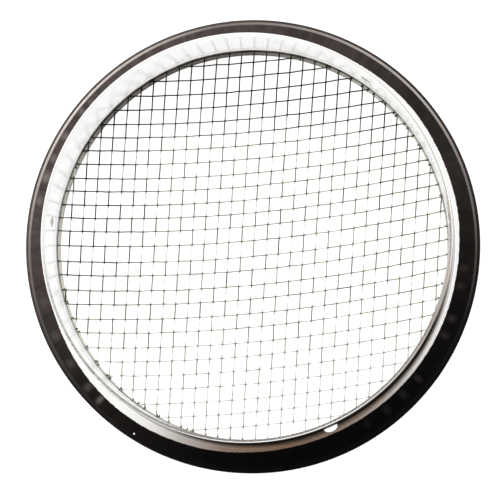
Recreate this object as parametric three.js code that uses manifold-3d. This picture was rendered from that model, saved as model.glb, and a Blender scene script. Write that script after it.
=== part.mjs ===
// Round garden soil sieve of polished stainless steel, millimetres, +Z up.
//
// A tall upright collar with a wired, rolled rim carries a wide seat ring with a
// wired bead round its foot. A screen of woven wire on a low hoop drops into the
// collar from above and rests on the narrow ledge at the collar's lower edge.
// The origin is the centre of the circle that the sieve stands on.
import * as THREE from "three";
import { mergeVertices } from "three/addons/utils/BufferGeometryUtils.js";
import Module from "manifold-3d";

const wasm = await Module();
wasm.setup();

// ---------- driving dimensions ----------
const SIDES = 56; // flats round every ring, all turned alike

const COLLAR_IN = 129.9; // inner face of the collar wall
const COLLAR_OUT = 130.6;
const LEDGE_IN = 128.2; // inner edge of the screen ledge
const LEDGE_T = 0.7;
const HEM_IN = 129.3; // doubled sheet at the foot, guides the hoop of the screen
const HEM_TOP = 12.2;
const HEM_SLOPE_TOP = 12.5;

const RIM_R = 130.7; // centre circle of the rolled rim
const RIM_Z = 72.6;
const RIM_OUTER = 1.4; // radius of the roll's section, outside and inside
const RIM_INNER = 0.7;
const RIM_WIRE = 0.4;

const SEAT_SLEEVE_IN = 131.0; // seat ring: sleeve, cove, flat, bead
const SHEET = 0.8;
const SEAT_SLEEVE_TOP = 27.0;
const SEAT_TOP = 15.5;
const COVE_R = 140.0; // where the cove runs out into the flat
const COVE_Z = 23.7;
const COVE_RADIUS = 8.2;
const SEAT_FLAT_OUT = 144.6; // outer edge of the clear flat under the seat
const BEAD_R = 147.5;
const BEAD_Z = 13.0;
const BEAD_OUTER = 2.5;
const BEAD_INNER = 1.7;
const BEAD_WIRE = 1.4;

const HOOP_IN = 128.4; // hoop of the screen
const HOOP_OUT = 129.0;
const HOOP_LOW = 1.0;
const HOOP_TOP = 11.4;

const WIRE = 0.8; // wire of the screen cloth
const SELVEDGE_IN = 128.2; // edge wire that ties each layer together
const WARP_Z = 11.7;
const WEFT_Z = 12.8;
const WARP_FIRST = -121.2;
const WARP_PITCH = 8.14;
const WARP_COUNT = 31;
const WARP_LEAN = 0.062;
const WARP_BOW = 0.00003;
const WEFT_ROWS = [
  -118.6, -109.6, -100.7, -91.0, -82.0, -72.7, -64.3, -53.9, -44.8, -35.2, -26.3, -16.1, -7.2,
  3.3, 12.8, 21.4, 30.3, 39.2, 47.5, 57.1, 66.2, 75.2, 84.1, 93.7, 102.9, 112.5, 121.7,
];
const WEFT_LEAN = 0.084;
const WEFT_BOW = 0.00052;

const STUD_ANGLES = [54.3, 173.9, 293.6];
const STUD_Z = 39.4;
const STUD_HOLE = 3.5;
const STUD_SHANK = 3.2;

// ---------- helpers ----------
const rad = (d) => (d * Math.PI) / 180;

// One closed indexed solid with outward faces.
function solid(geometry) {
  const g = geometry.clone();
  g.deleteAttribute("normal");
  g.deleteAttribute("uv");
  const m = mergeVertices(g, 1e-4);
  const p = m.getAttribute("position");
  const ix = Array.from(m.getIndex().array);
  const keep = [];
  let vol = 0;
  for (let i = 0; i < ix.length; i += 3) {
    const [a, b, c] = [ix[i], ix[i + 1], ix[i + 2]];
    if (a === b || b === c || c === a) continue;
    keep.push(a, b, c);
    vol +=
      p.getX(a) * (p.getY(b) * p.getZ(c) - p.getZ(b) * p.getY(c)) -
      p.getY(a) * (p.getX(b) * p.getZ(c) - p.getZ(b) * p.getX(c)) +
      p.getZ(a) * (p.getX(b) * p.getY(c) - p.getY(b) * p.getX(c));
  }
  if (vol < 0) for (let i = 0; i < keep.length; i += 3) [keep[i + 1], keep[i + 2]] = [keep[i + 2], keep[i + 1]];
  m.setIndex(keep);
  return m;
}

function toManifold(geometry) {
  const g = solid(geometry);
  return new wasm.Manifold(
    new wasm.Mesh({
      numProp: 3,
      vertProperties: new Float32Array(g.getAttribute("position").array),
      triVerts: new Uint32Array(g.getIndex().array),
    }),
  );
}

function fromManifold(man) {
  const mesh = man.getMesh();
  const g = new THREE.BufferGeometry();
  const n = mesh.vertProperties.length / mesh.numProp;
  const pos = new Float32Array(n * 3);
  for (let i = 0; i < n; i++) for (let k = 0; k < 3; k++) pos[i * 3 + k] = mesh.vertProperties[i * mesh.numProp + k];
  g.setAttribute("position", new THREE.BufferAttribute(pos, 3));
  g.setIndex(Array.from(mesh.triVerts));
  g.computeVertexNormals();
  return g;
}

// A closed section of [radius, height] points turned about +Z.
function ring(section, sides = SIDES) {
  const pts = section.map(([r, z]) => new THREE.Vector2(r, z));
  pts.push(pts[0].clone());
  const g = new THREE.LatheGeometry(pts, sides);
  g.rotateX(Math.PI / 2);
  return g;
}

// Points of an arc in the section plane, from one angle to the other, in degrees.
function arc(r, z, radius, from, to, steps) {
  const out = [];
  for (let i = 0; i <= steps; i++) {
    const a = rad(from + ((to - from) * i) / steps);
    out.push([r + radius * Math.cos(a), z + radius * Math.sin(a)]);
  }
  return out;
}

function wireRing(r, z, radius, sides) {
  const pts = [];
  for (let i = 0; i < sides; i++) {
    const a = rad((360 * (i + 0.5)) / sides);
    pts.push([r + radius * Math.cos(a), z + radius * Math.sin(a)]);
  }
  return ring(pts);
}

// A flat strip that follows a plan line, standing on z.
function strip(line, width, z, height) {
  const left = [];
  const right = [];
  for (let i = 0; i < line.length; i++) {
    const a = line[Math.max(0, i - 1)];
    const b = line[Math.min(line.length - 1, i + 1)];
    const d = Math.hypot(b[0] - a[0], b[1] - a[1]);
    const nx = (-(b[1] - a[1]) / d) * (width / 2);
    const ny = ((b[0] - a[0]) / d) * (width / 2);
    left.push(new THREE.Vector2(line[i][0] + nx, line[i][1] + ny));
    right.push(new THREE.Vector2(line[i][0] - nx, line[i][1] - ny));
  }
  const g = new THREE.ExtrudeGeometry(new THREE.Shape([...right, ...left.reverse()]), {
    depth: height,
    bevelEnabled: false,
    steps: 1,
  });
  g.translate(0, 0, z);
  return g;
}

// The part of a plan curve t -> [x, y] that lies inside the circle of the cloth.
function insideCircle(curve, radius, steps) {
  const inside = (t) => Math.hypot(...curve(t)) < radius;
  const ts = [];
  for (let i = 0; i <= 520; i++) {
    const t = -130 + i * 0.5;
    if (inside(t)) ts.push(t);
  }
  if (ts.length < 8) return null;
  const lo = ts[0] - 0.5;
  const hi = ts[ts.length - 1] + 0.5;
  const line = [];
  for (let i = 0; i <= steps; i++) line.push(curve(lo + ((hi - lo) * i) / steps));
  return line;
}

function layer(curves, steps, z) {
  const mid = (SELVEDGE_IN + HOOP_OUT) / 2;
  let wires = null;
  for (const c of curves) {
    const line = insideCircle(c, mid, steps);
    if (!line) continue;
    const m = toManifold(strip(line, WIRE, z, WIRE));
    wires = wires ? wires.add(m) : m;
  }
  const disc = new THREE.LatheGeometry(
    [
      [0, z - 1],
      [mid, z - 1],
      [mid, z + WIRE + 1],
      [0, z + WIRE + 1],
    ].map(([r, h]) => new THREE.Vector2(r, h)),
    SIDES,
  );
  disc.rotateX(Math.PI / 2);
  const edge = toManifold(
    ring([
      [SELVEDGE_IN, z],
      [HOOP_OUT, z],
      [HOOP_OUT, z + WIRE],
      [SELVEDGE_IN, z + WIRE],
    ]),
  );
  return fromManifold(wires.intersect(toManifold(disc)).add(edge));
}

function stud(angle) {
  const g = new THREE.LatheGeometry(
    [
      [0, 129.9],
      [STUD_SHANK, 129.9],
      [STUD_SHANK, 131.0],
      [5.0, 131.0],
      [4.8, 132.1],
      [3.9, 133.3],
      [2.2, 134.2],
      [0, 134.5],
    ].map(([r, h]) => new THREE.Vector2(r, h)),
    16,
  );
  g.rotateZ(-Math.PI / 2);
  g.translate(0, 0, STUD_Z);
  g.rotateZ(rad(angle));
  return solid(g);
}

function studHole(angle) {
  const g = new THREE.LatheGeometry(
    [
      [0, 125],
      [STUD_HOLE, 125],
      [STUD_HOLE, 135],
      [0, 135],
    ].map(([r, h]) => new THREE.Vector2(r, h)),
    16,
  );
  g.rotateZ(-Math.PI / 2);
  g.translate(0, 0, STUD_Z);
  g.rotateZ(rad(angle));
  return toManifold(g);
}

const steel = (color, roughness) => new THREE.MeshStandardMaterial({ color, roughness, metalness: 1.0 });
const part = new THREE.Group();

function add(name, geometry, material) {
  geometry.computeVertexNormals();
  const mesh = new THREE.Mesh(geometry, material);
  mesh.name = name;
  part.add(mesh);
}

// ---------- collar: ledge, hemmed foot, wall and open roll round the rim wire ----------
const wallTop = RIM_Z - Math.sqrt(RIM_OUTER ** 2 - (RIM_R - COLLAR_IN) ** 2);
let collar = toManifold(
  ring([
    [LEDGE_IN, 0],
    [COLLAR_OUT, 0],
    ...arc(RIM_R, RIM_Z, RIM_INNER, -98, -410, 8),
    ...arc(RIM_R, RIM_Z, RIM_OUTER, -50, 230, 8).slice(0, -1),
    [COLLAR_IN, wallTop],
    [COLLAR_IN, HEM_SLOPE_TOP],
    [HEM_IN, HEM_TOP],
    [HEM_IN, LEDGE_T],
    [LEDGE_IN, LEDGE_T],
  ]),
);
for (const a of STUD_ANGLES) collar = collar.subtract(studHole(a));
add("collar", fromManifold(collar), steel(0xd9d8d5, 0.12));
add("rim_core_wire", solid(wireRing(RIM_R, RIM_Z, RIM_WIRE, 6)), steel(0x8e8c88, 0.35));

// ---------- seat ring: sleeve, cove, flat and open bead round the bead wire ----------
const seatLow = SEAT_TOP - SHEET;
add(
  "seat_ring",
  solid(
    ring([
      [SEAT_SLEEVE_IN, SEAT_SLEEVE_TOP],
      [SEAT_SLEEVE_IN + SHEET, SEAT_SLEEVE_TOP],
      ...arc(COVE_R, COVE_Z, COVE_RADIUS, 180, 270, 4),
      ...arc(BEAD_R, BEAD_Z, BEAD_OUTER, 90, -180, 8),
      ...arc(BEAD_R, BEAD_Z, BEAD_INNER, -180, 90, 7),
      [SEAT_FLAT_OUT, seatLow],
      ...arc(COVE_R, COVE_Z, COVE_RADIUS + SHEET, 270, 180, 4),
    ]),
  ),
  steel(0x4a4441, 0.1),
);
add("bead_core_wire", solid(wireRing(BEAD_R, BEAD_Z, BEAD_WIRE, 8)), steel(0x8e8c88, 0.35));

// ---------- three round-headed stop studs through the collar wall ----------
["a", "b", "c"].forEach((s, i) => add(`stop_stud_${s}`, stud(STUD_ANGLES[i]), steel(0xe4e3e0, 0.15)));

// ---------- screen: hoop and the two wire layers of the cloth ----------
add(
  "screen_hoop",
  solid(
    ring([
      [HOOP_IN, HOOP_LOW],
      [HOOP_OUT, HOOP_LOW],
      [HOOP_OUT, HOOP_TOP],
      [HOOP_IN, HOOP_TOP],
    ]),
  ),
  steel(0xa89a88, 0.2),
);
const warps = [];
for (let i = 0; i < WARP_COUNT; i++) {
  const x0 = WARP_FIRST + i * WARP_PITCH;
  warps.push((t) => [x0 + WARP_LEAN * t + WARP_BOW * t * t, t]);
}
const wefts = WEFT_ROWS.map((y0) => (t) => [t, y0 + WEFT_LEAN * t + WEFT_BOW * t * t]);
add("warp_wires", layer(warps, 2, WARP_Z), steel(0x6d7166, 0.3));
add("weft_wires", layer(wefts, 6, WEFT_Z), steel(0x6d7166, 0.3));

export default part;
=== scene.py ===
import bpy
import math
import random

import numpy as np
from mathutils import Matrix, Vector


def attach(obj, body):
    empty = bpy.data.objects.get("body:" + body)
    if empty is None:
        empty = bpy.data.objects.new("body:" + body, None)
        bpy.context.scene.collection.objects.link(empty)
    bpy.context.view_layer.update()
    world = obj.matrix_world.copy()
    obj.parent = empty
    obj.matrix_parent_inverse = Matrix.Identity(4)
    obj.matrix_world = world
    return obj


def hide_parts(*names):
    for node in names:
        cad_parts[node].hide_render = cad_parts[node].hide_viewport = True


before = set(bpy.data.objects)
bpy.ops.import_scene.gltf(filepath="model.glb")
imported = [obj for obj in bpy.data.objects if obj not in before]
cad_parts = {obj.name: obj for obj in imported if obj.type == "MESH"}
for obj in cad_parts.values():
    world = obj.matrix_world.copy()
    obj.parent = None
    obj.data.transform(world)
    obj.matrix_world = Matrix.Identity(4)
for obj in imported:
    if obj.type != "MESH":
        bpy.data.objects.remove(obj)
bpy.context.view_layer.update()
random.seed(7)
rng = np.random.default_rng(11)
MM = 0.001


# ------------------------------------------------------------------ mesh helpers
def new_object(name, verts, faces, smooth=True, mats=(), face_mats=None):
    me = bpy.data.meshes.new(name)
    me.from_pydata([tuple(v) for v in verts], [], [tuple(f) for f in faces])
    me.validate()
    me.update()
    ob = bpy.data.objects.new(name, me)
    bpy.context.scene.collection.objects.link(ob)
    for m in mats:
        me.materials.append(m)
    if smooth:
        me.polygons.foreach_set("use_smooth", [True] * len(me.polygons))
    if face_mats is not None:
        me.polygons.foreach_set("material_index", face_mats)
    return ob


def arc(r, z, rad, a0, a1, n):
    out = []
    for i in range(n + 1):
        a = math.radians(a0 + (a1 - a0) * i / n)
        out.append((r + rad * math.cos(a), z + rad * math.sin(a)))
    return out


def line(p, q, n):
    return [(p[0] + (q[0] - p[0]) * i / n, p[1] + (q[1] - p[1]) * i / n) for i in range(n)]


def turned(name, section, sides, shape=None, mats=()):
    """A closed section of (radius, height) in mm turned about +Z; shape(r, z, angle) may move a point."""
    n = len(section)
    verts, faces = [], []
    sec = np.array(section)
    for k in range(sides):
        a = 2 * math.pi * k / sides
        for r, z in sec:
            if shape:
                r, z = shape(r, z, a)
            verts.append((r * math.cos(a) * MM, r * math.sin(a) * MM, z * MM))
    for k in range(sides):
        k2 = (k + 1) % sides
        for i in range(n):
            i2 = (i + 1) % n
            faces.append((k * n + i, k2 * n + i, k2 * n + i2, k * n + i2))
    ob = new_object(name, verts, faces, mats=mats)
    fix_normals(ob)
    return ob


def fix_normals(ob):
    import bmesh

    bm = bmesh.new()
    bm.from_mesh(ob.data)
    bmesh.ops.recalc_face_normals(bm, faces=bm.faces)
    bm.to_mesh(ob.data)
    bm.free()


def sharp_by_angle(ob, degrees):
    me = ob.data
    import bmesh

    bm = bmesh.new()
    bm.from_mesh(me)
    lim = math.radians(degrees)
    for e in bm.edges:
        if len(e.link_faces) == 2:
            e.smooth = e.calc_face_angle(0.0) < lim
        else:
            e.smooth = False
    bm.to_mesh(me)
    bm.free()


# ------------------------------------------------------------------ material helpers
def material(name):
    m = bpy.data.materials.new(name)
    m.use_nodes = True
    nt = m.node_tree
    b = nt.nodes["Principled BSDF"]
    return m, nt, b


class Nodes:
    def __init__(self, nt):
        self.nt = nt

    def new(self, kind, **kw):
        n = self.nt.nodes.new(kind)
        for k, v in kw.items():
            setattr(n, k, v)
        return n

    def link(self, a, b):
        self.nt.links.new(a, b)

    def math(self, op, a, b=None, c=None, clamp=False):
        n = self.new("ShaderNodeMath", operation=op, use_clamp=clamp)
        for i, v in enumerate((a, b, c)):
            if v is None:
                continue
            if isinstance(v, (int, float)):
                n.inputs[i].default_value = v
            else:
                self.link(v, n.inputs[i])
        return n.outputs[0]

    def ramp(self, fac, stops, mode="LINEAR"):
        n = self.new("ShaderNodeValToRGB")
        n.color_ramp.interpolation = mode
        els = n.color_ramp.elements
        while len(els) > 1:
            els.remove(els[-1])
        els[0].position = stops[0][0]
        els[0].color = (*stops[0][1], 1)
        for p, c in stops[1:]:
            e = els.new(p)
            e.color = (*c, 1)
        self.link(fac, n.inputs[0])
        return n.outputs[0]

    def noise(self, vec, scale, detail=3, rough=0.5, dist=0.0):
        n = self.new("ShaderNodeTexNoise")
        n.inputs["Scale"].default_value = scale
        n.inputs["Detail"].default_value = detail
        n.inputs["Roughness"].default_value = rough
        n.inputs["Distortion"].default_value = dist
        self.link(vec, n.inputs["Vector"])
        return n.outputs["Fac"]

    def map(self, v, a, b, c, d, clamp=True):
        n = self.new("ShaderNodeMapRange")
        n.clamp = clamp
        for i, x in enumerate((a, b, c, d)):
            n.inputs[1 + i].default_value = x
        self.link(v, n.inputs[0])
        return n.outputs[0]

    def smooth(self, v, a, b):
        n = self.new("ShaderNodeMapRange", interpolation_type="SMOOTHSTEP")
        lo, hi = (a, b) if a < b else (b, a)
        n.inputs[1].default_value = lo
        n.inputs[2].default_value = hi
        n.inputs[3].default_value = 0 if a < b else 1
        n.inputs[4].default_value = 1 if a < b else 0
        self.link(v, n.inputs[0])
        return n.outputs[0]

    def mix(self, fac, a, b, blend="MIX"):
        n = self.new("ShaderNodeMix", data_type="RGBA", blend_type=blend)
        for sock, v in ((n.inputs[0], fac), (n.inputs[6], a), (n.inputs[7], b)):
            if isinstance(v, (int, float)):
                sock.default_value = v
            elif isinstance(v, tuple):
                sock.default_value = (*v, 1) if len(v) == 3 else v
            else:
                self.link(v, sock)
        return n.outputs[2]

    def combine(self, x, y, z):
        n = self.new("ShaderNodeCombineXYZ")
        for i, v in enumerate((x, y, z)):
            if isinstance(v, (int, float)):
                n.inputs[i].default_value = v
            else:
                self.link(v, n.inputs[i])
        return n.outputs[0]


def cylindrical(n):
    """Object coordinates and their radius, angle and height, in metres and radians."""
    tc = n.new("ShaderNodeTexCoord").outputs["Object"]
    s = n.new("ShaderNodeSeparateXYZ")
    n.link(tc, s.inputs[0])
    x, y, z = s.outputs
    r = n.math("SQRT", n.math("ADD", n.math("MULTIPLY", x, x), n.math("MULTIPLY", y, y)))
    a = n.math("ARCTAN2", y, x)
    return tc, x, y, z, r, a


def angular(n, a, table):
    """A value that follows the angle round the axis; table gives degrees and values from 0 to 1."""
    degs = sorted((((d + 180) % 360) / 360, v) for d, v in table.items())
    wrap0, wrap1 = degs[-1], degs[0]
    span = wrap1[0] + 1 - wrap0[0]
    at_end = wrap0[1] + (wrap1[1] - wrap0[1]) * (1 - wrap0[0]) / span
    stops = [(0.0, at_end)] + [(p, v) for p, v in degs if 0 < p < 1] + [(1.0, at_end)]
    fac = n.math("ADD", n.math("MULTIPLY", a, 1 / (2 * math.pi)), 0.5)
    out = n.ramp(fac, [(p, (v, v, v)) for p, v in stops])
    sp = n.new("ShaderNodeSeparateColor")
    n.link(out, sp.inputs[0])
    return sp.outputs[0]


def streaks(n, a, lo, hi, marks):
    """Soft narrow marks at given degrees inside one sector; marks gives (degrees, half width, value)."""
    stops = [(0.0, 0.0)]
    for d, w, v in marks:
        stops += [((d - w - lo) / (hi - lo), 0.0), ((d - lo) / (hi - lo), v), ((d + w - lo) / (hi - lo), 0.0)]
    stops.append((1.0, 0.0))
    clean = [stops[0]]
    for p, v in stops[1:]:
        clean.append((max(p, clean[-1][0] + 0.0005), v))
    turn = n.math("MULTIPLY", a, 180 / math.pi)
    if hi > 180:
        turn = n.math("ADD", turn, n.math("MULTIPLY", n.math("LESS_THAN", turn, 0.0), 360.0))
    fac = n.map(turn, lo, hi, 0, 1)
    out = n.ramp(fac, [(min(p, 1.0), (v, v, v)) for p, v in clean], "EASE")
    sp = n.new("ShaderNodeSeparateColor")
    n.link(out, sp.inputs[0])
    return sp.outputs[0]


def polished_steel(name, light, dark, r_lo, r_hi, brush=0.15):
    """Bright polished sheet: cloudy polish, faint circling brush lines, duller foot, tiny handling marks; painted
    reflections and shade on the roll, the outer foot, the inner corner and round the studs.
    """
    m, nt, b = material(name)
    n = Nodes(nt)
    tc, x, y, z, r, a = cylindrical(n)
    cloud = n.noise(tc, 22, 4, 0.55)
    lines = n.noise(n.combine(n.math("MULTIPLY", a, 0.9), n.math("MULTIPLY", z, 900), n.math("MULTIPLY", r, 900)), 3.0, 4, 0.7)
    marks = n.noise(n.combine(n.math("MULTIPLY", a, 22), n.math("MULTIPLY", z, 160), 0.0), 2.4, 6, 0.75, 1.2)
    col = n.mix(n.map(cloud, 0.3, 0.7, 0, 1), dark, light)
    inside = n.smooth(r, 0.13035, 0.13010)
    col = n.mix(inside, col, n.mix(n.map(cloud, 0.3, 0.7, 0, 1), (0.955, 0.95, 0.945), (0.985, 0.98, 0.975)))
    col = n.mix(n.math("MULTIPLY", n.smooth(marks, 0.69, 0.78), n.math("SUBTRACT", 0.4, n.math("MULTIPLY", inside, 0.25))), col, (0.34, 0.31, 0.27))
    # painted reflection: a dark speckled line along the top of the roll, on the arcs listed in where
    crest = n.math("MULTIPLY", n.smooth(z, 0.07335, 0.07375), n.smooth(r, 0.13135, 0.13105))
    where = angular(n, a, {0: 0.75, 4: 1.0, 9: 0.6, 14: 0.12, 40: 0.05, 70: 0.0, 180: 0.12, 198: 0.75, 225: 0.90, 250: 0.60, 265: 0.20, 280: 0.0, 340: 0.05, 352: 0.45})
    speckle = n.map(n.noise(n.combine(n.math("MULTIPLY", a, 60), n.math("MULTIPLY", r, 900), n.math("MULTIPLY", z, 900)), 1.6, 4, 0.7), 0.35, 0.62, 0.25, 1.0)
    col = n.mix(n.math("MULTIPLY", n.math("MULTIPLY", crest, where), speckle), col, (0.13, 0.115, 0.10))
    # painted reflection of the mesh: grey hatching on the inner half of the roll along the near arc
    inner_half = n.math("MULTIPLY", n.smooth(z, 0.0718, 0.0726), n.smooth(r, 0.13060, 0.13038))
    near = angular(n, a, {200: 0.05, 225: 0.25, 242: 0.65, 256: 0.95, 270: 1.0, 335: 0.95, 348: 0.5, 0: 0.2, 14: 0.0, 100: 0.0})
    mesh_reflection_hatch = n.map(n.noise(n.combine(n.math("MULTIPLY", a, 95), n.math("MULTIPLY", z, 500), 0.0), 1.5, 3, 0.6), 0.35, 0.6, 0.70, 1.0)
    col = n.mix(n.math("MULTIPLY", n.math("MULTIPLY", inner_half, near), mesh_reflection_hatch), col, (0.20, 0.165, 0.140))
    # painted dark reflection: a fine near-black line on the roll's inner top along the near arc
    dark_reflection_line = n.math("MULTIPLY", n.math("MULTIPLY", n.smooth(z, 0.0730, 0.0734), n.smooth(r, 0.13046, 0.13054)), n.smooth(r, 0.13078, 0.13070))
    col = n.mix(n.math("MULTIPLY", dark_reflection_line, near), col, (0.012, 0.009, 0.008))
    # painted shade: near black under the outer edge of the roll along the near arc
    under = n.math("MULTIPLY", n.math("MULTIPLY", n.smooth(r, 0.13132, 0.13156), n.smooth(z, 0.0680, 0.0690)), near)
    # painted shade: the foot of the outer face is dark along the same arc, like the flat of the seat ring beside it
    low_wall = n.math("MULTIPLY", n.smooth(r, 0.13040, 0.13055), n.smooth(z, 0.0560, 0.0480))
    low_wall = n.math("MULTIPLY", low_wall, angular(n, a, {238: 0.0, 255: 0.85, 268: 1.0, 335: 1.0, 350: 0.5, 5: 0.0, 120: 0.0}))
    under = n.math("MAXIMUM", under, low_wall)
    col = n.mix(under, col, (0.012, 0.009, 0.008))
    # painted reflection: a faint tan line at the bend where the roll turns outwards
    bend = n.math("MULTIPLY", n.math("MULTIPLY", n.smooth(r, 0.13062, 0.13088), n.smooth(r, 0.13150, 0.13124)), n.smooth(z, 0.0725, 0.0730))
    bend = n.math("MULTIPLY", bend, angular(n, a, {0: 0.85, 20: 0.75, 40: 0.55, 60: 0.30, 72: 0.0, 300: 0.0, 315: 0.35, 335: 0.8}))
    col = n.mix(bend, col, (0.40, 0.30, 0.20))
    foot = n.math("SUBTRACT", 1.0, n.smooth(z, 0.0170, 0.0215))
    corner = n.math("SUBTRACT", 1.0, n.smooth(z, 0.0126, 0.0131))
    bare = n.math("SUBTRACT", 1.0, n.math("MULTIPLY", inside, n.math("ADD", 0.72, n.math("MULTIPLY", foot, 0.25))))
    bare = n.math("MULTIPLY", bare, n.math("SUBTRACT", 1.0, under))
    n.link(bare, b.inputs["Metallic"])
    b.inputs["Specular IOR Level"].default_value = 0.0
    # painted shade: dark brown in the gap at the foot of the inner face, along one arc
    painted_shade = angular(n, a, {30: 0.0, 44: 0.35, 58: 0.9, 66: 1.0, 150: 1.0, 160: 0.55, 166: 0.75, 190: 0.6, 196: 0.1, 204: 0.0, 330: 0.0})
    painted_shade = n.math("MULTIPLY", n.math("MULTIPLY", painted_shade, n.math("MULTIPLY", corner, inside)), n.map(n.noise(tc, 90, 4, 0.6), 0.3, 0.6, 0.75, 1.0))
    col = n.mix(painted_shade, col, (0.050, 0.034, 0.025))
    # painted shade round the studs on the inner face
    for deg, wide, tall, amount in ((173.9, 0.0030, 0.0066, 0.95), (54.3, 0.0042, 0.0062, 0.70), (-66.4, 0.0030, 0.0060, 0.6)):
        u = n.math("DIVIDE", n.math("MULTIPLY", n.math("SUBTRACT", a, math.radians(deg)), 0.13), wide)
        v = n.math("DIVIDE", n.math("SUBTRACT", z, 0.0400), tall)
        d = n.math("SQRT", n.math("ADD", n.math("MULTIPLY", u, u), n.math("MULTIPLY", v, v)))
        ring = n.math("MULTIPLY", n.smooth(d, 0.25, 0.75), n.smooth(d, 1.15, 0.85))
        ring = n.math("MULTIPLY", ring, n.smooth(n.noise(tc, 330, 3, 0.6), 0.36, 0.56))
        col = n.mix(n.math("MULTIPLY", n.math("MULTIPLY", ring, amount), inside), col, (0.10, 0.070, 0.045))
    n.link(col, b.inputs["Base Color"])
    rough = n.math("ADD", n.map(cloud, 0.3, 0.75, r_lo, r_hi), n.map(lines, 0.35, 0.7, 0.0, 0.05))
    rough = n.math("MULTIPLY", rough, n.math("SUBTRACT", 1.0, n.math("MULTIPLY", inside, 0.22)))
    n.link(n.math("ADD", rough, n.math("MULTIPLY", foot, 0.2)), b.inputs["Roughness"])
    bump = n.new("ShaderNodeBump")
    bump.inputs["Strength"].default_value = brush
    bump.inputs["Distance"].default_value = 0.00003
    n.link(lines, bump.inputs["Height"])
    n.link(bump.outputs[0], b.inputs["Normal"])
    return m


steel_collar = polished_steel("steel_collar", (0.925, 0.92, 0.915), (0.89, 0.885, 0.88), 0.12, 0.19)


def stud_finish():
    """Satin rivet: bright outside, its flush inner face painted with brown shade round a brighter middle."""
    m, nt, b = material("steel_stud")
    n = Nodes(nt)
    tc, x, y, z, r, a = cylindrical(n)
    b.inputs["Metallic"].default_value = 1.0
    cloud = n.noise(tc, 260, 4, 0.6)
    col = n.mix(cloud, (0.88, 0.875, 0.86), (0.98, 0.975, 0.965))
    # painted shade: brown on the flush inner face, broken up by noise
    inner = n.smooth(r, 0.1306, 0.1303)
    painted_shade = n.smooth(n.noise(tc, 420, 4, 0.65), 0.42, 0.58)
    col = n.mix(n.math("MULTIPLY", inner, n.math("ADD", 0.45, n.math("MULTIPLY", painted_shade, 0.5))), col, (0.12, 0.09, 0.06))
    n.link(col, b.inputs["Base Color"])
    n.link(n.map(cloud, 0.3, 0.7, 0.34, 0.44), b.inputs["Roughness"])
    bump = n.new("ShaderNodeBump")
    bump.inputs["Strength"].default_value = 0.15
    bump.inputs["Distance"].default_value = 0.00003
    n.link(cloud, bump.inputs["Height"])
    n.link(bump.outputs[0], b.inputs["Normal"])
    return m


steel_stud = stud_finish()


# radius (mm) of the dark coat's edge in the cove, by degrees: set round the ring to follow a painted reflection
# boundary
EDGE_OF_COAT_AND_REFLECTION = {
    0: 136.10, 10: 136.97, 20: 137.05, 30: 137.62, 40: 138.50, 50: 138.60, 60: 138.60, 80: 139.00, 120: 139.20,
    160: 138.55, 190: 137.78, 200: 137.85, 210: 138.50, 220: 139.00, 230: 139.07, 240: 138.80, 250: 137.90,
    260: 137.20, 270: 136.03, 280: 135.35, 290: 135.07, 300: 135.00, 310: 135.02, 320: 135.20, 330: 135.32,
    340: 135.50, 350: 135.65,
}
# the coat's tone round the ring, by degrees: painted light, lighter from 100 to 180 and near black from 260 to 320
DARK_TONE = {
    0: 0.013, 20: 0.033, 40: 0.031, 60: 0.060, 80: 0.066, 100: 0.100, 120: 0.114, 140: 0.092, 160: 0.108, 180: 0.100,
    200: 0.050, 220: 0.015, 240: 0.0092, 260: 0.0026, 280: 0.0017, 300: 0.0017, 320: 0.0030, 340: 0.006,
}
# strength of the painted highlight along the bead's crest, by degrees round the ring
BEAD_HIGHLIGHT = {
    0: 0.06, 20: 0.17, 40: 0.36, 60: 0.34, 80: 0.22, 100: 0.17, 120: 0.42, 140: 0.62, 160: 0.42, 180: 0.17, 200: 0.07,
    220: 0.02, 240: 0.004, 280: 0.002, 320: 0.004, 340: 0.01,
}


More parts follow.
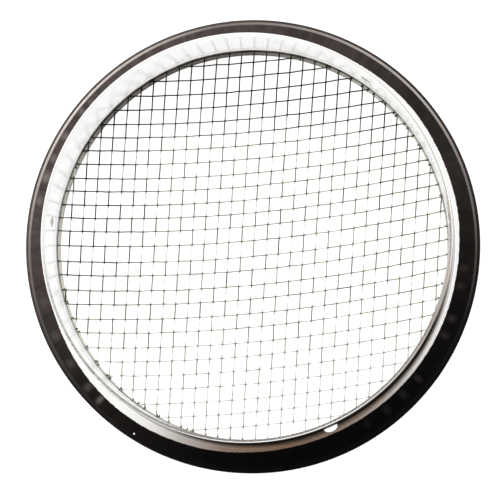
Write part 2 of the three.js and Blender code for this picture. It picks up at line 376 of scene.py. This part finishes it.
def seat_finish():
    """Dark glossy coat on the bead and flat, its edge in the cove set round the ring to follow a painted reflection
    boundary;
    bare polished steel above it, with painted tan to brown reflection and shade along the lower arc and against the
    collar;
    the coat's tone is painted lighter and darker round the ring, with a painted highlight along the bead's crest and
    painted highlights where the pressing marks stand up."""
    m, nt, b = material("seat_dark_gloss")
    n = Nodes(nt)
    tc, x, y, z, r, a = cylindrical(n)
    ring = n.combine(n.math("COSINE", a), n.math("SINE", a), 0.0)
    edge_noise = n.noise(ring, 30, 5, 0.62)
    fine = n.noise(tc, 520, 3, 0.6)
    jag = n.math("ADD", n.map(edge_noise, 0.25, 0.75, -0.00022, 0.00022), n.map(fine, 0.3, 0.7, -0.00014, 0.00014))
    edge_r = n.math("ADD", n.math("MULTIPLY", angular(n, a, {k: (v - 134) / 8 for k, v in EDGE_OF_COAT_AND_REFLECTION.items()}), 0.008), 0.134)
    over = n.math("SUBTRACT", n.math("ADD", r, jag), edge_r)
    mask = n.smooth(over, -0.00016, 0.00016)  # 0 bare steel, 1 dark coat
    cloud = n.noise(tc, 30, 4, 0.6)
    streak = n.noise(n.combine(n.math("MULTIPLY", a, 14), n.math("MULTIPLY", r, 30), 0.0), 2.0, 4, 0.6)
    # bare steel: white round most of the ring; painted reflection and shade make it tan to brown along the lower arc
    # and against the collar
    tan_arc = angular(n, a, {0: 0.02, 8: 0.0, 200: 0.0, 230: 0.0, 240: 0.18, 250: 0.62, 262: 0.93, 280: 1.0, 292: 0.95, 304: 0.84, 314: 0.62, 324: 0.36, 334: 0.18, 350: 0.06})
    low = n.smooth(r, 0.13290, 0.13190)
    inner_arc = angular(n, a, {0: 0.55, 20: 0.45, 50: 0.20, 70: 0.0, 215: 0.0, 240: 0.5, 260: 1.0, 340: 1.0, 350: 0.8})
    steel = n.mix(cloud, (0.88, 0.87, 0.85), (0.95, 0.945, 0.93))
    cream = n.mix(cloud, (0.130, 0.078, 0.050), (0.190, 0.122, 0.084))
    steel = n.mix(tan_arc, steel, cream)
    near_side = angular(n, a, {0: 0.0, 80: 0.0, 200: 0.0, 240: 0.9, 250: 1.0, 340: 1.0, 352: 0.4})
    edge_shade = n.mix(near_side, (0.44, 0.34, 0.25), (0.135, 0.095, 0.066))
    steel = n.mix(n.math("MULTIPLY", low, inner_arc), steel, edge_shade)
    # painted shade: near black at the lip against the collar and low in the cove along the near arc
    lip = n.math("MULTIPLY", n.smooth(r, 0.13150, 0.13120), near_side)
    steel = n.mix(lip, steel, (0.016, 0.011, 0.009))
    deep = n.math("MULTIPLY", n.smooth(r, 0.13290, 0.13190), angular(n, a, {235: 0.0, 248: 0.8, 262: 0.95, 284: 0.8, 300: 0.2, 315: 0.0, 0: 0.0}))
    steel = n.mix(deep, steel, (0.020, 0.014, 0.011))
    # painted light: the coat's tone follows DARK_TONE round the ring
    tone = n.math("MULTIPLY", angular(n, a, DARK_TONE), 0.85)
    dark = n.combine(tone, n.math("MULTIPLY", tone, 0.80), n.math("MULTIPLY", tone, 0.74))
    dark = n.mix(n.map(streak, 0.3, 0.7, 0, 1), n.mix(1.0, dark, (0.72, 0.72, 0.72), "MULTIPLY"), n.mix(1.0, dark, (1.3, 1.3, 1.3), "MULTIPLY"))
    # pressing marks catch the light
    m1 = streaks(n, a, 190, 232, [(195, 2.0, 0.030), (204.6, 2.2, 0.050), (213, 2.0, 0.045), (220.8, 1.7, 0.055), (225.4, 1.3, 0.110)])
    m2 = streaks(n, a, 298, 358, [(302.6, 1.6, 0.006), (309.2, 1.6, 0.011), (315.2, 1.6, 0.014), (321, 1.4, 0.020), (334.6, 1.6, 0.020), (339.4, 1.6, 0.024), (348.6, 1.6, 0.020), (353.4, 1.6, 0.018)])
    m3 = streaks(n, a, 134, 174, [(138, 1.5, 0.05), (141.6, 1.5, 0.08), (149.4, 2.0, 0.10), (156, 1.8, 0.10), (161.4, 2.2, 0.13), (168, 2.0, 0.11)])
    z1 = n.math("MULTIPLY", n.smooth(r, 0.1372, 0.1425), n.smooth(r, 0.1472, 0.1425))
    z2 = n.math("MULTIPLY", n.smooth(r, 0.1350, 0.1395), n.smooth(r, 0.1450, 0.1395))
    z3 = n.math("MULTIPLY", n.smooth(r, 0.1395, 0.1440), n.smooth(r, 0.1470, 0.1445))
    lift = n.math("ADD", n.math("ADD", n.math("MULTIPLY", m1, z1), n.math("MULTIPLY", m2, z2)), n.math("MULTIPLY", m3, z3))
    lift = n.math("MULTIPLY", lift, n.map(fine, 0.3, 0.7, 0.8, 1.2))
    dark = n.mix(1.0, dark, n.combine(lift, n.math("MULTIPLY", lift, 0.88), n.math("MULTIPLY", lift, 0.82)), "ADD")
    # painted highlight along the bead's crest
    crest = n.math("MULTIPLY", n.smooth(r, 0.14620, 0.14690), n.smooth(r, 0.14825, 0.14785))
    crest = n.math("MULTIPLY", crest, n.smooth(z, 0.0145, 0.0149))
    crest = n.math("MULTIPLY", crest, n.map(n.noise(ring, 60, 4, 0.6), 0.2, 0.7, 0.75, 1.0))
    highlight_level = n.math("MULTIPLY", angular(n, a, BEAD_HIGHLIGHT), 1.45)
    highlight_colour = n.combine(highlight_level, n.math("MULTIPLY", highlight_level, 0.90), n.math("MULTIPLY", highlight_level, 0.83))
    dark = n.mix(crest, dark, highlight_colour)
    speck = n.new("ShaderNodeTexVoronoi", feature="F1")
    speck.inputs["Scale"].default_value = 85
    n.link(tc, speck.inputs["Vector"])
    chip = n.math("MULTIPLY", n.math("LESS_THAN", speck.outputs["Distance"], 0.040), n.math("GREATER_THAN", n.noise(tc, 60, 2), 0.62))
    dark = n.mix(chip, dark, (0.62, 0.60, 0.56))
    n.link(n.mix(mask, steel, dark), b.inputs["Base Color"])
    steep = n.math("SUBTRACT", 1.0, n.math("MULTIPLY", n.smooth(r, 0.13450, 0.13270), 0.85))
    n.link(n.math("MULTIPLY", n.math("SUBTRACT", 1.0, mask), steep), b.inputs["Metallic"])
    rough = n.math("ADD", n.map(cloud, 0.3, 0.75, 0.14, 0.22), n.math("MULTIPLY", mask, 0.08))
    n.link(rough, b.inputs["Roughness"])
    b.inputs["Specular IOR Level"].default_value = 0.02
    bump = n.new("ShaderNodeBump")
    bump.inputs["Strength"].default_value = 0.25
    bump.inputs["Distance"].default_value = 0.00005
    n.link(n.noise(n.combine(n.math("MULTIPLY", a, 40), n.math("MULTIPLY", r, 260), n.math("MULTIPLY", z, 260)), 1.6, 4, 0.6), bump.inputs["Height"])
    n.link(bump.outputs[0], b.inputs["Normal"])
    return m


def wire_finish():
    """Drawn wire, green-grey: its painted light and shade come with the mesh (tone), broken up by noise."""
    m, nt, b = material("screen_wire")
    n = Nodes(nt)
    tc, x, y, z, r, a = cylindrical(n)
    tone = n.new("ShaderNodeAttribute", attribute_name="tone").outputs["Fac"]
    patch = n.noise(tc, 240, 4, 0.65)
    drawn = n.noise(tc, 1500, 2, 0.6)
    tone = n.math("MULTIPLY", tone, n.map(patch, 0.25, 0.75, 0.62, 1.38))
    green = n.map(patch, 0.3, 0.7, 0.90, 0.97)
    deep = n.smooth(tone, 0.75, 0.35)
    blue = n.math("SUBTRACT", 0.99, n.math("MULTIPLY", deep, 0.20))
    n.link(n.combine(n.math("MULTIPLY", tone, n.math("ADD", 0.04, green)), tone, n.math("MULTIPLY", tone, blue)), b.inputs["Base Color"])
    b.inputs["Metallic"].default_value = 0.7
    n.link(n.math("ADD", n.map(patch, 0.3, 0.7, 0.30, 0.46), n.map(drawn, 0.3, 0.7, -0.04, 0.04)), b.inputs["Roughness"])
    b.inputs["Specular IOR Level"].default_value = 0.1
    bump = n.new("ShaderNodeBump")
    bump.inputs["Strength"].default_value = 0.3
    bump.inputs["Distance"].default_value = 0.00004
    n.link(drawn, bump.inputs["Height"])
    n.link(bump.outputs[0], b.inputs["Normal"])
    return m


def hoop_finish():
    """Satin strip with a warm cast, browner along one arc, streaked darker and lighter by noise."""
    m, nt, b = material("hoop_satin")
    n = Nodes(nt)
    tc, x, y, z, r, a = cylindrical(n)
    b.inputs["Metallic"].default_value = 1.0
    brown = angular(n, a, {0: 0.0, 20: 0.04, 40: 0.16, 60: 0.46, 78: 0.85, 92: 1.0, 140: 0.96, 152: 0.66, 165: 0.42, 180: 0.18, 198: 0.0, 330: 0.0})
    brown = n.math("ADD", brown, n.map(n.noise(tc, 30, 3), 0.3, 0.7, -0.08, 0.08), None, True)
    hoop_streaks = n.noise(n.combine(n.math("MULTIPLY", a, 46), n.math("MULTIPLY", z, 30), 0.0), 1.0, 4, 0.6)
    cream = n.mix(hoop_streaks, (0.50, 0.475, 0.385), (0.80, 0.78, 0.69))
    tan = n.mix(hoop_streaks, (0.016, 0.011, 0.008), (0.075, 0.058, 0.045))
    n.link(n.mix(brown, cream, tan), b.inputs["Base Color"])
    b.inputs["Metallic"].default_value = 0.08
    b.inputs["Specular IOR Level"].default_value = 0.05
    n.link(n.map(hoop_streaks, 0.3, 0.7, 0.40, 0.55), b.inputs["Roughness"])
    bump = n.new("ShaderNodeBump")
    bump.inputs["Strength"].default_value = 0.2
    bump.inputs["Distance"].default_value = 0.00004
    n.link(hoop_streaks, bump.inputs["Height"])
    n.link(bump.outputs[0], b.inputs["Normal"])
    return m


def core_finish():
    m, nt, b = material("core_wire")
    n = Nodes(nt)
    tc, x, y, z, r, a = cylindrical(n)
    b.inputs["Metallic"].default_value = 1.0
    p = n.noise(n.combine(n.math("MULTIPLY", a, 60), n.math("MULTIPLY", z, 400), n.math("MULTIPLY", r, 400)), 1.5, 4, 0.6)
    n.link(n.mix(p, (0.26, 0.25, 0.24), (0.48, 0.47, 0.45)), b.inputs["Base Color"])
    n.link(n.map(p, 0.3, 0.7, 0.3, 0.5), b.inputs["Roughness"])
    return m


seat_mat = seat_finish()
wire_mat = wire_finish()
hoop_mat = hoop_finish()
core_mat = core_finish()
for node in ("rim_core_wire", "bead_core_wire"):
    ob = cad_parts[node]
    ob.data.materials.clear()
    ob.data.materials.append(core_mat)

# ------------------------------------------------------------------ collar
RIM_R, RIM_Z, RO, RI = 130.7, 72.6, 1.4, 0.7
wall_top = RIM_Z - math.sqrt(RO**2 - (RIM_R - 129.9) ** 2)
STUDS = [54.3, 173.9, 293.6]
STUD_Z = 39.4
SEAM_RIM = math.radians(4.0)


def ang_diff(a, b):
    return (a - b + math.pi) % (2 * math.pi) - math.pi


def collar_shape(r, z, a):
    # the sheet is a touch out of true, and the roll closes on a small open joint
    body = min(1.0, max(0.0, (z - 2) / 10)) * min(1.0, max(0.0, (72 - z) / 10))
    r += body * (0.035 * math.sin(5 * a + 0.7) + 0.022 * math.sin(11 * a + z * 0.05) + 0.012 * math.sin(23 * a + 1.1 + z * 0.11))
    if z > 70.9:
        d = abs(ang_diff(a, SEAM_RIM)) * 131
        k = math.exp(-((d / 1.1) ** 2))
        r += (RIM_R - r) * 0.32 * k
        z += (RIM_Z - z) * 0.32 * k
    return r, z


sec = []
sec += [(128.25, 0.0)]
sec += line((128.5, 0.0), (130.3, 0.0), 3)
sec += arc(130.3, 0.3, 0.3, -90, 0, 4)
sec += line((130.6, 1.5), (130.6, RIM_Z - RI), 34)
sec += arc(RIM_R, RIM_Z, RI, -98, -404, 22)
sec += arc(RIM_R + 1.05 * math.cos(math.radians(-46)), RIM_Z + 1.05 * math.sin(math.radians(-46)), 0.35, 134, -46, 6)[1:-1]
sec += arc(RIM_R, RIM_Z, RO, -42, 226, 30)
sec += line((129.9, wall_top), (129.9, 12.9), 30)
sec += [(129.89, 12.68), (129.84, 12.54), (129.72, 12.46), (129.55, 12.42), (129.42, 12.38), (129.33, 12.28), (129.3, 12.12)]
sec += line((129.3, 11.8), (129.3, 1.2), 8)
sec += arc(129.0, 1.0, 0.3, 0, -90, 4)
sec += line((128.8, 0.7), (128.45, 0.7), 2)
sec += [(128.25, 0.62), (128.2, 0.35), (128.2, 0.12)]
collar = turned("collar_sheet", sec, 720, collar_shape, [steel_collar])


def turned_on_axis(name, profile, sides, mats, angle_deg, z_mm):
    """A profile of (radius, distance from the sieve's axis) turned about a radial line at the given angle and height."""
    verts, faces = [], []
    n = len(profile)
    a = math.radians(angle_deg)
    ex = Vector((math.cos(a), math.sin(a), 0))
    ey = Vector((-math.sin(a), math.cos(a), 0))
    ez = Vector((0, 0, 1))
    for r, d in profile[1:-1]:
        for k in range(sides):
            t = 2 * math.pi * k / sides
            p = ex * d + ey * (r * math.cos(t)) + ez * (r * math.sin(t) + z_mm)
            verts.append(p * MM)
    m = n - 2
    for i in range(m - 1):
        for k in range(sides):
            k2 = (k + 1) % sides
            faces.append((i * sides + k, i * sides + k2, (i + 1) * sides + k2, (i + 1) * sides + k))
    verts.append((ex * profile[0][1] + ez * z_mm) * MM)
    verts.append((ex * profile[-1][1] + ez * z_mm) * MM)
    c0, c1 = len(verts) - 2, len(verts) - 1
    for k in range(sides):
        k2 = (k + 1) % sides
        faces.append((c0, k2, k))
        faces.append((c1, (m - 1) * sides + k, (m - 1) * sides + k2))
    ob = new_object(name, verts, faces, mats=mats)
    fix_normals(ob)
    return ob


# holes for the studs
for i, ang in enumerate(STUDS):
    cutter = turned_on_axis(f"cut_{i}", [(0, 126), (3.5, 126), (3.5, 134), (0, 134)], 48, (), ang, STUD_Z)
    mod = collar.modifiers.new("hole", "BOOLEAN")
    mod.operation = "DIFFERENCE"
    mod.solver = "EXACT"
    mod.object = cutter
    dg = bpy.context.evaluated_depsgraph_get()
    me = bpy.data.meshes.new_from_object(collar.evaluated_get(dg))
    collar.modifiers.clear()
    old = collar.data
    collar.data = me
    bpy.data.meshes.remove(old)
    bpy.data.objects.remove(cutter)
collar.data.polygons.foreach_set("use_smooth", [True] * len(collar.data.polygons))
sharp_by_angle(collar, 50)
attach(collar, "frame")
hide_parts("collar")

# ------------------------------------------------------------------ studs
prof = [(0, 129.92), (2.4, 129.92), (2.95, 129.98), (3.2, 130.2), (3.2, 131.0), (4.7, 131.0), (5.0, 131.25), (4.98, 131.6), (4.8, 132.1), (4.45, 132.7), (3.95, 133.25), (3.2, 133.8), (2.3, 134.2), (1.2, 134.43), (0, 134.5)]
for s, ang in zip("abc", STUDS):
    ob = turned_on_axis(f"stud_{s}", prof, 56, [steel_stud], ang, STUD_Z)
    sharp_by_angle(ob, 60)
    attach(ob, "frame")
    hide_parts(f"stop_stud_{s}")

# ------------------------------------------------------------------ seat ring
RIPPLES = [2, 8.5, 14, 21, 27, 33.5, 41, 47, 52.5, 61, 68, 76, 83, 92, 99, 107, 115, 123, 131, 139, 146, 152, 158, 162, 170, 178,
           186, 194, 205, 213, 221, 225, 232, 247, 256, 266, 275, 284, 293, 302.5, 309, 315, 321, 327, 334.5, 339, 348.5, 353]
RIP = [(math.radians(a), 0.055 + 0.075 * rng.random(), 1.6 + 1.2 * rng.random()) for a in RIPPLES]
SEAM_SEAT = math.radians(238.0)


def seat_shape(r, z, a):
    if r > 132.5 and z > 11:
        k = math.exp(-(((r - 139.6) / 2.6) ** 2))
        dz = 0.0
        for a0, amp, w in RIP:
            d = ang_diff(a, a0) * 140
            if abs(d) < 10:
                dz -= amp * math.exp(-((d / w) ** 2))
        dz += 0.03 * math.sin(37 * a) + 0.02 * math.sin(61 * a + 1)
        z += dz * k
    r += 0.03 * math.sin(9 * a + 0.4) * min(1.0, max(0.0, (r - 140) / 5)) - (0.03 if r > 147.6 else 0.0)
    d = abs(ang_diff(a, SEAM_SEAT)) * 145
    if r > 136 and z > 12.5 and d < 4:
        z -= 0.28 * math.exp(-((d / 0.9) ** 2)) * min(1.0, (r - 136) / 3)
    return r, z


sec = []
sec += line((131.0, 26.9), (131.0, 23.7), 3)[::-1]
sec = [(131.0, 23.9), (131.0, 25.4), (131.0, 26.8)]
sec += [(131.12, 26.96), (131.4, 27.0), (131.68, 26.96), (131.8, 26.8)]
sec += line((131.8, 26.2), (131.8, 23.7), 3)
sec += arc(140.0, 23.7, 8.2, 180, 270, 26)
sec += line((140.6, 15.5), (147.5, 15.5), 12)
sec += arc(147.5, 13.0, 2.5, 90, -176, 44)
sec += arc(145.4, 12.98, 0.4, 184, 0, 6)[1:-1]
sec += arc(147.5, 13.0, 1.7, -180, 90, 30)
sec += line((147.2, 14.7), (140.0, 14.7), 8)
sec += arc(140.0, 23.7, 9.0, 270, 180, 22)
seat = turned("seat_pressing", sec, 900, seat_shape, [seat_mat])
sharp_by_angle(seat, 60)
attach(seat, "frame")
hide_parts("seat_ring")

# a small bright weld dot closes the seat's joint beside the bead
a = SEAM_SEAT
w = turned_on_axis("seam_weld", [(0, -0.0), (0.7, 0.0), (0.72, 0.1), (0.5, 0.3), (0, 0.38)], 20, [steel_stud], 0, 0)
for v in w.data.vertices:
    x, y, z = v.co
    v.co = (146.0 * MM * math.cos(a) + y, 146.0 * MM * math.sin(a) + z, 15.26 * MM + x)
fix_normals(w)
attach(w, "frame")

# ------------------------------------------------------------------ hoop
sec = []
sec += line((128.4, 1.25), (128.4, 11.85), 16)
sec += arc(128.62, 11.9, 0.22, 180, 90, 4)
sec += arc(128.78, 11.9, 0.22, 90, 0, 4)
sec += line((129.0, 11.8), (129.0, 1.25), 16)
sec += arc(128.8, 1.2, 0.2, 0, -90, 4)
sec += arc(128.6, 1.2, 0.2, -90, -180, 4)
hoop = turned("hoop_strip", sec, 640, lambda r, z, a: (r + 0.02 * math.sin(7 * a) - 0.02, z), [hoop_mat])
sharp_by_angle(hoop, 50)
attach(hoop, "screen")
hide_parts("screen_hoop")

# ------------------------------------------------------------------ woven wires
ZM = 12.65
WR = 0.45  # wire radius
AMP = 0.44  # crimp
R_END = 128.95
WARP_SHIFT = [0, -0.1, -0.3, -0.4, -0.2, -0.2, -0.3, -0.25, -0.1, -0.1, 0, 0, 0.1, 0, 0.2, 0.25, 0.6, 0.4, 0.4, 0.3, 0.3, 0.3,
              0.25, 0.45, 0.1, 0, 0, -0.3, -0.25, -0.5, -0.25]
WARPS = [-121.2 + 8.14 * i + WARP_SHIFT[i] for i in range(31)]
WEFTS = [-118.6, -109.6, -100.7, -91.0, -82.0, -72.7, -63.6, -53.8, -44.8, -35.2, -26.1, -16.1, -7.2,
         3.3, 13.0, 21.7, 30.5, 39.6, 48.1, 57.6, 66.7, 75.5, 84.3, 93.9, 103.1, 112.7, 121.9]


def warp_x(i, y):
    return WARPS[i] + (0.0655 - 0.0002 * i) * y + 0.00003 * y * y


def weft_y(j, x):
    return WEFTS[j] - 0.2 + (0.088 - 0.00028 * j) * x + 0.00052 * x * x


nW, nF = len(WARPS), len(WEFTS)
jx = rng.normal(0, 0.045, (nW, nF))
jy = rng.normal(0, 0.07, (nW, nF))
cross = np.zeros((nW, nF, 2))
for i in range(nW):
    for j in range(nF):
        x, y = WARPS[i], WEFTS[j]
        for _ in range(12):
            x = warp_x(i, y)
            y = weft_y(j, x)
        cross[i, j] = (x + jx[i, j], y + jy[i, j])


def step(v, a, b):
    t = min(1.0, max(0.0, (v - a) / (b - a)))
    return t * t * (3 - 2 * t)


def painted_wire_shade(kind, parity, x, y):
    """Painted light and shade on a wire, 0 to 1: darker along +Y and -X, lighter towards +X -Y; one side of every crimp
    is painted lighter than the other.
    """
    if kind == "warp" and parity:
        d = 0.36 + 0.30 * step(y, 55, 110) + 0.30 * step(-x, 45, 110) * step(y, -110, 40) + 0.12 * step(x, 60, 110) * step(y, 0, 80)
        d -= 0.20 * step(-y, 40, 115) + 0.14 * step(x, 30, 80) * step(-y, 20, 70)
    elif kind == "warp":
        d = 0.05 + 0.62 * step(y, 68, 106) + 0.20 * step(abs(x), 40, 110) * step(y, 10, 70) + 0.06 * step(-y, 60, 110)
    else:
        d = 0.21 + 0.05 * parity + 0.42 * step(y, 52, 108) + 0.36 * step(-x, 45, 112) * step(y, -90, 60)
        d += 0.16 * step(x, 50, 110) * step(y, -30, 80) - 0.17 * step(-y, 20, 105)
    return min(0.85, max(0.065, d))


def tone_of(d):
    """Painted shade to reflectance."""
    return max(0.02, 1 - min(0.98, d * 1.16)) ** 2.4


def tube(points, tones, radius, sides, verts, faces, tone):
    """Adds a capped round tube along the points (mm)."""
    pts = [Vector(p) for p in points]
    base = len(verts)
    n = len(pts)
    for k, p in enumerate(pts):
        t = (pts[min(n - 1, k + 1)] - pts[max(0, k - 1)]).normalized()
        side = t.cross(Vector((0, 0, 1))).normalized()
        up = side.cross(t).normalized()
        for s in range(sides):
            ph = 2 * math.pi * s / sides
            verts.append((p + side * (radius * math.cos(ph)) + up * (radius * math.sin(ph))) * MM)
            tone.append(tones[k])
    for k in range(n - 1):
        for s in range(sides):
            s2 = (s + 1) % sides
            faces.append((base + k * sides + s, base + k * sides + s2, base + (k + 1) * sides + s2, base + (k + 1) * sides + s))
    faces.append(tuple(base + s for s in reversed(range(sides))))
    faces.append(tuple(base + (n - 1) * sides + s for s in range(sides)))


def crimped(kind, nodes, signs, first, last):
    """A smooth line through the crossings, over and under in turn, with the painted light and shade at each point."""
    keys = [(*first, ZM + 0.02)] + [(*p, ZM + s * AMP) for p, s in zip(nodes, signs)] + [(*last, ZM + 0.02)]
    out, tones = [], []
    for k in range(len(keys) - 1):
        p0 = np.array(keys[max(0, k - 1)])
        p1 = np.array(keys[k])
        p2 = np.array(keys[k + 1])
        p3 = np.array(keys[min(len(keys) - 1, k + 2)])
        length = float(np.hypot(*(p2 - p1)[:2]))
        # painted shade: climbing one way along the wire is the shaded side of the crimp for one set of cells
        parity = 1 if p2[2] > p1[2] else 0
        if kind == "weft":
            parity = 1 - parity
        wobble = 1 + 0.16 * rng.standard_normal()
        steps = 12
        for q in range(steps + (1 if k == len(keys) - 2 else 0)):
            t = q / steps
            h = 0.5 * ((2 * p1) + (-p0 + p2) * t + (2 * p0 - 5 * p1 + 4 * p2 - p3) * t * t + (-p0 + 3 * p1 - 3 * p2 + p3) * t**3)
            # height: flat over each crossing, quick change between, as a crimp is
            c = 0.5 - 0.5 * math.cos(math.pi * min(1.0, max(0.0, (t - 0.10) / 0.80)))
            z = p1[2] + (p2[2] - p1[2]) * c
            out.append((h[0], h[1], z))
            d = painted_wire_shade(kind, parity, h[0], h[1]) * wobble
            # painted shade: darker where the wires cross
            both = 0.5 * (painted_wire_shade(kind, 0, h[0], h[1]) + painted_wire_shade(kind, 1, h[0], h[1]))
            near = max(math.exp(-((t * length / 0.85) ** 2)), math.exp(-(((1 - t) * length / 0.85) ** 2)))
            d = d + (max(d, both + 0.24) - d) * near
            tones.append(tone_of(d))
    return out, tones


ends = []


def end_points(curve, lo=-131, hi=131):
    ts = np.arange(lo, hi, 0.05)
    ins = [t for t in ts if math.hypot(*curve(t)) < R_END]
    if len(ins) < 120:
        return None
    return ins[0], ins[-1]


def add_tone(ob, tone):
    att = ob.data.attributes.new("tone", "FLOAT", "POINT")
    att.data.foreach_set("value", tone)


def build_layer(name, kind, count, curve_of, nodes_of, sign_of):
    verts, faces, tone = [], [], []
    for i in range(count):
        curve = curve_of(i)
        e = end_points(curve)
        if not e:
            continue
        lo, hi = e
        nodes, signs = [], []
        for k, (p, t) in enumerate(nodes_of(i)):
            if math.hypot(*p) < R_END - 1.3 and lo < t < hi:
                nodes.append(tuple(p))
                signs.append(sign_of(i, k))
        pts, tones = crimped(kind, nodes, signs, curve(lo), curve(hi))
        tube(pts, tones, WR, 10, verts, faces, tone)
        for p, q in ((pts[0], pts[2]), (pts[-1], pts[-3])):
            ends.append((p, q))
    ob = new_object(name, verts, faces, mats=[wire_mat])
    add_tone(ob, tone)
    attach(ob, "screen")
    return ob


warp = build_layer("warp_crimped", "warp", nW, lambda i: (lambda t: (warp_x(i, t), t)), lambda i: [(cross[i, j], cross[i, j, 1]) for j in range(nF)], lambda i, j: 1 if (i + j) % 2 == 0 else -1)
weft = build_layer("weft_crimped", "weft", nF, lambda j: (lambda t: (t, weft_y(j, t))), lambda j: [(cross[i, j], cross[i, j, 0]) for i in range(nW)], lambda j, i: -1 if (i + j) % 2 == 0 else 1)
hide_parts("warp_wires")
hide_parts("weft_wires")

# dark blobs at the wire ends on the hoop, standing in for the wires' contact shadows: painted shade
verts, faces, tone = [], [], []
for p, q in ends:
    p = np.array(p)
    rad = np.array([p[0], p[1], 0]) / math.hypot(p[0], p[1])
    tan = np.array([-rad[1], rad[0], 0])
    sr, st, sz = 1.0 + 0.45 * rng.random(), 0.50 + 0.22 * rng.random(), 0.55 + 0.15 * rng.random()
    c = rad * (129.12 - sr)
    c[2] = ZM - 0.1
    # random darkness, painted lighter towards +X -Y
    dark = 0.035 + 0.09 * rng.random() + 0.10 * step(p[0] - p[1], 60, 160)
    base = len(verts)
    nu, nv = 6, 8
    for u in range(1, nu):
        th = math.pi * u / nu
        for v in range(nv):
            ph = 2 * math.pi * v / nv
            d = rad * (sr * math.sin(th) * math.cos(ph)) + tan * (st * math.sin(th) * math.sin(ph))
            d = d + np.array([0, 0, sz * math.cos(th)])
            verts.append((c + d) * MM)
            tone.append(dark)
    top, bot = len(verts), len(verts) + 1
    verts.append((c + np.array([0, 0, sz])) * MM)
    verts.append((c - np.array([0, 0, sz])) * MM)
    tone += [dark, dark]
    for u in range(nu - 2):
        for v in range(nv):
            v2 = (v + 1) % nv
            faces.append((base + u * nv + v, base + (u + 1) * nv + v, base + (u + 1) * nv + v2, base + u * nv + v2))
    for v in range(nv):
        v2 = (v + 1) % nv
        faces.append((top, base + v, base + v2))
        faces.append((bot, base + (nu - 2) * nv + v2, base + (nu - 2) * nv + v))
end_shadow_blobs = new_object("wire_end_shadow_blobs", verts, faces, mats=[wire_mat])
add_tone(end_shadow_blobs, tone)
fix_normals(end_shadow_blobs)
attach(end_shadow_blobs, "screen")

# ------------------------------------------------------------------ floor, light, camera
fm, nt, b = material("floor_white")
n = Nodes(nt)
tc = n.new("ShaderNodeTexCoord").outputs["Object"]
paper = n.mix(n.noise(tc, 3, 2), (0.80, 0.80, 0.80), (0.83, 0.83, 0.83))
n.link(paper, b.inputs["Base Color"])
n.link(paper, b.inputs["Emission Color"])
b.inputs["Emission Strength"].default_value = 0.85
b.inputs["Roughness"].default_value = 0.9
b.inputs["Specular IOR Level"].default_value = 0.1
verts = [(0, 0, 0)]
faces = []
NS = 96
for k in range(NS):
    a = 2 * math.pi * k / NS
    verts.append((1.6 * math.cos(a), 1.6 * math.sin(a), 0))
for k in range(NS):
    faces.append((0, 1 + k, 1 + (k + 1) % NS))
floor = new_object("floor", verts, faces, smooth=False, mats=[fm])
floor.location.z = -0.0002

world = bpy.data.worlds.new("studio")
bpy.context.scene.world = world
world.use_nodes = True
nt = world.node_tree
bg = nt.nodes["Background"]
n = Nodes(nt)
d = n.new("ShaderNodeTexCoord").outputs["Generated"]
s = n.new("ShaderNodeSeparateXYZ")
n.link(d, s.inputs[0])
dx, dy, dz = s.outputs
up = n.ramp(n.map(dz, -1, 1, 0, 1), [(0.0, (1.0, 1.0, 1.0)), (0.47, (0.90, 0.90, 0.90)), (0.52, (0.86, 0.86, 0.86)), (0.62, (1.0, 0.998, 0.995)), (1.0, (1.0, 0.995, 0.99))])
side = n.math("ADD", n.math("MULTIPLY", dx, 0.3), n.math("MULTIPLY", dy, 0.2))
n.link(n.mix(n.map(side, -0.4, 0.4, 0, 1), up, n.mix(1.0, up, (0.97, 0.985, 1.0), "MULTIPLY")), bg.inputs["Color"])
bg.inputs["Strength"].default_value = 1.08


cam = bpy.data.cameras.new("view")
cam.sensor_width = 36
cam.lens = 3116.128 / 500 * 36
cam.shift_x = -0.001
cam.shift_y = 0.001
cam.clip_start = 0.05
cam.clip_end = 50
co = bpy.data.objects.new("view", cam)
bpy.context.scene.collection.objects.link(co)
f = Vector((-0.06572438, 0.08801442, -0.99394857))
rt = Vector((0.99782092, 0.0, -0.06598043))
upv = Vector((0.00580723, 0.99611920, 0.08782263))
co.matrix_world = Matrix(
    ((rt.x, upv.x, -f.x, 0.13384615), (rt.y, upv.y, -f.y, -0.18398697), (rt.z, upv.z, -f.z, 2.05265148), (0, 0, 0, 1))
)
bpy.context.scene.camera = co
bpy.context.scene.view_settings.view_transform = "Standard"
bpy.context.scene.view_settings.look = "None"
bpy.context.scene.view_settings.exposure = 0
bpy.context.scene.view_settings.gamma = 1
